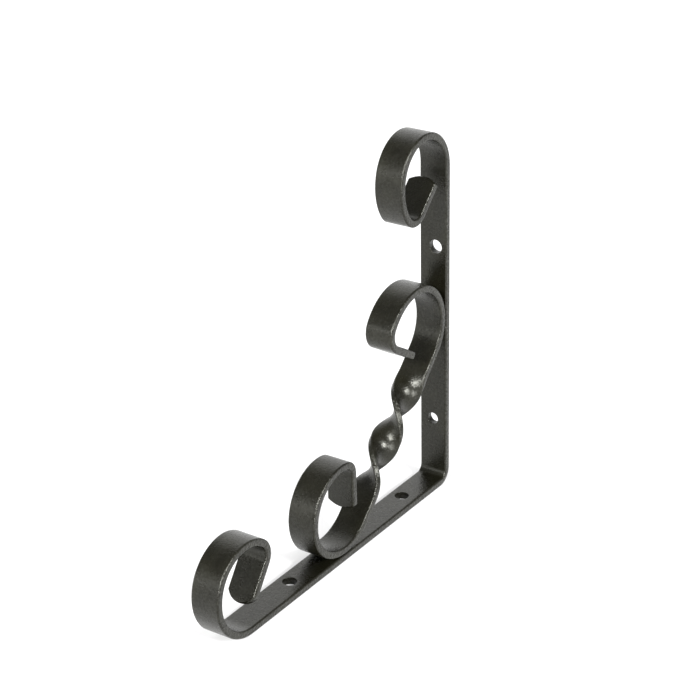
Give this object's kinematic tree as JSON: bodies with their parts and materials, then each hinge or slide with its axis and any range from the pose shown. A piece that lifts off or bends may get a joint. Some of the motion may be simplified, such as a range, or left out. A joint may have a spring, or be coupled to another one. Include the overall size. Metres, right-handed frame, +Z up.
{
  "type": "decorative steel bracket",
  "caption": "L-shaped decorative bracket of flat steel bar, with scrolled ends and a twisted C-scroll brace, for carrying a shelf from a wall.",
  "frame": {"origin": "centre of the bounding box in plan, on the underside of the level leg", "axes": "+X across the bar, +Y towards the wall that the upright leg is screwed to, +Z up; the level leg reaches forward along -Y"},
  "size_m": [0.0162, 0.205, 0.205],
  "materials": {
    "satin_black_paint": "satin"
  },
  "bodies": {
    "root": {"angle_strap": "satin_black_paint", "twisted_brace": "satin_black_paint"}
  },
  "joints": []
}
